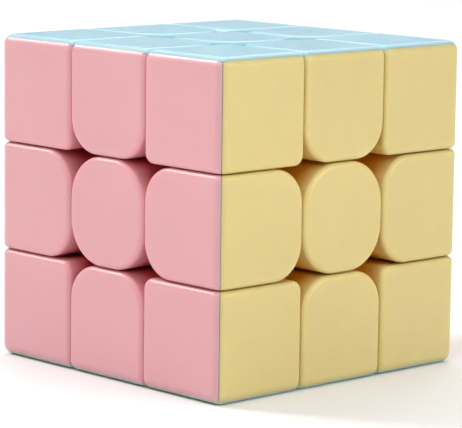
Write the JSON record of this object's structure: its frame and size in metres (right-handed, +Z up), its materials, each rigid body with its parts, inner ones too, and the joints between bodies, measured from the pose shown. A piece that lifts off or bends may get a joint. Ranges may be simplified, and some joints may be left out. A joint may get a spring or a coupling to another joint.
{
  "type": "twisty puzzle cube",
  "caption": "Stickerless twisty puzzle cube in pastel plastic, whose six faces turn freely about a hidden core.",
  "frame": {"origin": "centre of the cube, where the six turning axes meet", "axes": "+Z up, out of the blue face; -Y out of the pink front face; +X out of the yellow right face"},
  "size_m": [0.056, 0.056, 0.056],
  "materials": {
    "blue_plastic": "satin",
    "green_plastic": "satin",
    "pink_plastic": "satin",
    "orange_plastic": "satin",
    "yellow_plastic": "satin",
    "purple_plastic": "satin",
    "core_plastic": "matte",
    "steel": "satin"
  },
  "bodies": {
    "core": {"core": "core_plastic", "tension_screws": "steel", "tension_washers": "steel", "tension_springs": "steel"},
    "centre_up": {"centre_up": "blue_plastic"},
    "centre_down": {"centre_down": "green_plastic"},
    "centre_front": {"centre_front": "pink_plastic"},
    "centre_back": {"centre_back": "orange_plastic"},
    "centre_right": {"centre_right": "yellow_plastic"},
    "centre_left": {"centre_left": "purple_plastic"},
    "edge_uf": {"edge_uf_up": "blue_plastic", "edge_uf_front": "pink_plastic"},
    "edge_ub": {"edge_ub_up": "blue_plastic", "edge_ub_back": "orange_plastic"},
    "edge_ur": {"edge_ur_up": "blue_plastic", "edge_ur_right": "yellow_plastic"},
    "edge_ul": {"edge_ul_up": "blue_plastic", "edge_ul_left": "purple_plastic"},
    "edge_df": {"edge_df_down": "green_plastic", "edge_df_front": "pink_plastic"},
    "edge_db": {"edge_db_down": "green_plastic", "edge_db_back": "orange_plastic"},
    "edge_dr": {"edge_dr_down": "green_plastic", "edge_dr_right": "yellow_plastic"},
    "edge_dl": {"edge_dl_down": "green_plastic", "edge_dl_left": "purple_plastic"},
    "edge_fr": {"edge_fr_front": "pink_plastic", "edge_fr_right": "yellow_plastic"},
    "edge_fl": {"edge_fl_front": "pink_plastic", "edge_fl_left": "purple_plastic"},
    "edge_br": {"edge_br_back": "orange_plastic", "edge_br_right": "yellow_plastic"},
    "edge_bl": {"edge_bl_back": "orange_plastic", "edge_bl_left": "purple_plastic"},
    "corner_ufr": {"corner_ufr_up": "blue_plastic", "corner_ufr_front": "pink_plastic", "corner_ufr_right": "yellow_plastic"},
    "corner_ufl": {"corner_ufl_up": "blue_plastic", "corner_ufl_front": "pink_plastic", "corner_ufl_left": "purple_plastic"},
    "corner_ubr": {"corner_ubr_up": "blue_plastic", "corner_ubr_back": "orange_plastic", "corner_ubr_right": "yellow_plastic"},
    "corner_ubl": {"corner_ubl_up": "blue_plastic", "corner_ubl_back": "orange_plastic", "corner_ubl_left": "purple_plastic"},
    "corner_dfr": {"corner_dfr_down": "green_plastic", "corner_dfr_front": "pink_plastic", "corner_dfr_right": "yellow_plastic"},
    "corner_dfl": {"corner_dfl_down": "green_plastic", "corner_dfl_front": "pink_plastic", "corner_dfl_left": "purple_plastic"},
    "corner_dbr": {"corner_dbr_down": "green_plastic", "corner_dbr_back": "orange_plastic", "corner_dbr_right": "yellow_plastic"},
    "corner_dbl": {"corner_dbl_down": "green_plastic", "corner_dbl_back": "orange_plastic", "corner_dbl_left": "purple_plastic"}
  },
  "joints": [
    {"name": "up_turn", "type": "hinge", "parent": "core", "child": "centre_up", "pos_m": [0, 0, 0], "axis": [0, 0, 1], "continuous": true},
    {"name": "down_turn", "type": "hinge", "parent": "core", "child": "centre_down", "pos_m": [0, 0, 0], "axis": [0, 0, -1], "continuous": true},
    {"name": "front_turn", "type": "hinge", "parent": "core", "child": "centre_front", "pos_m": [0, 0, 0], "axis": [0, -1, 0], "continuous": true},
    {"name": "back_turn", "type": "hinge", "parent": "core", "child": "centre_back", "pos_m": [0, 0, 0], "axis": [0, 1, 0], "continuous": true},
    {"name": "right_turn", "type": "hinge", "parent": "core", "child": "centre_right", "pos_m": [0, 0, 0], "axis": [1, 0, 0], "continuous": true},
    {"name": "left_turn", "type": "hinge", "parent": "core", "child": "centre_left", "pos_m": [0, 0, 0], "axis": [-1, 0, 0], "continuous": true},
    {"name": "edge_uf_with_front", "type": "hinge", "parent": "centre_up", "child": "edge_uf", "pos_m": [0, 0, 0], "axis": [0, -1, 0], "continuous": true},
    {"name": "edge_ub_with_back", "type": "hinge", "parent": "centre_up", "child": "edge_ub", "pos_m": [0, 0, 0], "axis": [0, 1, 0], "continuous": true},
    {"name": "edge_ur_with_up", "type": "hinge", "parent": "centre_right", "child": "edge_ur", "pos_m": [0, 0, 0], "axis": [0, 0, 1], "continuous": true},
    {"name": "edge_ul_with_up", "type": "hinge", "parent": "centre_left", "child": "edge_ul", "pos_m": [0, 0, 0], "axis": [0, 0, 1], "continuous": true},
    {"name": "edge_df_with_front", "type": "hinge", "parent": "centre_down", "child": "edge_df", "pos_m": [0, 0, 0], "axis": [0, -1, 0], "continuous": true},
    {"name": "edge_db_with_back", "type": "hinge", "parent": "centre_down", "child": "edge_db", "pos_m": [0, 0, 0], "axis": [0, 1, 0], "continuous": true},
    {"name": "edge_dr_with_down", "type": "hinge", "parent": "centre_right", "child": "edge_dr", "pos_m": [0, 0, 0], "axis": [0, 0, -1], "continuous": true},
    {"name": "edge_dl_with_down", "type": "hinge", "parent": "centre_left", "child": "edge_dl", "pos_m": [0, 0, 0], "axis": [0, 0, -1], "continuous": true},
    {"name": "edge_fr_with_right", "type": "hinge", "parent": "centre_front", "child": "edge_fr", "pos_m": [0, 0, 0], "axis": [1, 0, 0], "continuous": true},
    {"name": "edge_fl_with_left", "type": "hinge", "parent": "centre_front", "child": "edge_fl", "pos_m": [0, 0, 0], "axis": [-1, 0, 0], "continuous": true},
    {"name": "edge_br_with_right", "type": "hinge", "parent": "centre_back", "child": "edge_br", "pos_m": [0, 0, 0], "axis": [1, 0, 0], "continuous": true},
    {"name": "edge_bl_with_left", "type": "hinge", "parent": "centre_back", "child": "edge_bl", "pos_m": [0, 0, 0], "axis": [-1, 0, 0], "continuous": true},
    {"name": "corner_ufr_with_right", "type": "hinge", "parent": "edge_uf", "child": "corner_ufr", "pos_m": [0, 0, 0], "axis": [1, 0, 0], "continuous": true},
    {"name": "corner_ufl_with_left", "type": "hinge", "parent": "edge_uf", "child": "corner_ufl", "pos_m": [0, 0, 0], "axis": [-1, 0, 0], "continuous": true},
    {"name": "corner_ubr_with_right", "type": "hinge", "parent": "edge_ub", "child": "corner_ubr", "pos_m": [0, 0, 0], "axis": [1, 0, 0], "continuous": true},
    {"name": "corner_ubl_with_left", "type": "hinge", "parent": "edge_ub", "child": "corner_ubl", "pos_m": [0, 0, 0], "axis": [-1, 0, 0], "continuous": true},
    {"name": "corner_dfr_with_right", "type": "hinge", "parent": "edge_df", "child": "corner_dfr", "pos_m": [0, 0, 0], "axis": [1, 0, 0], "continuous": true},
    {"name": "corner_dfl_with_left", "type": "hinge", "parent": "edge_df", "child": "corner_dfl", "pos_m": [0, 0, 0], "axis": [-1, 0, 0], "continuous": true},
    {"name": "corner_dbr_with_right", "type": "hinge", "parent": "edge_db", "child": "corner_dbr", "pos_m": [0, 0, 0], "axis": [1, 0, 0], "continuous": true},
    {"name": "corner_dbl_with_left", "type": "hinge", "parent": "edge_db", "child": "corner_dbl", "pos_m": [0, 0, 0], "axis": [-1, 0, 0], "continuous": true}
  ],
  "couplings": [
    {"joint": "edge_uf_with_front", "follows": "front_turn", "ratio": 1},
    {"joint": "edge_ub_with_back", "follows": "back_turn", "ratio": 1},
    {"joint": "edge_ur_with_up", "follows": "up_turn", "ratio": 1},
    {"joint": "edge_ul_with_up", "follows": "up_turn", "ratio": 1},
    {"joint": "edge_df_with_front", "follows": "front_turn", "ratio": 1},
    {"joint": "edge_db_with_back", "follows": "back_turn", "ratio": 1},
    {"joint": "edge_dr_with_down", "follows": "down_turn", "ratio": 1},
    {"joint": "edge_dl_with_down", "follows": "down_turn", "ratio": 1},
    {"joint": "edge_fr_with_right", "follows": "right_turn", "ratio": 1},
    {"joint": "edge_fl_with_left", "follows": "left_turn", "ratio": 1},
    {"joint": "edge_br_with_right", "follows": "right_turn", "ratio": 1},
    {"joint": "edge_bl_with_left", "follows": "left_turn", "ratio": 1},
    {"joint": "corner_ufr_with_right", "follows": "right_turn", "ratio": 1},
    {"joint": "corner_ufl_with_left", "follows": "left_turn", "ratio": 1},
    {"joint": "corner_ubr_with_right", "follows": "right_turn", "ratio": 1},
    {"joint": "corner_ubl_with_left", "follows": "left_turn", "ratio": 1},
    {"joint": "corner_dfr_with_right", "follows": "right_turn", "ratio": 1},
    {"joint": "corner_dfl_with_left", "follows": "left_turn", "ratio": 1},
    {"joint": "corner_dbr_with_right", "follows": "right_turn", "ratio": 1},
    {"joint": "corner_dbl_with_left", "follows": "left_turn", "ratio": 1}
  ]
}
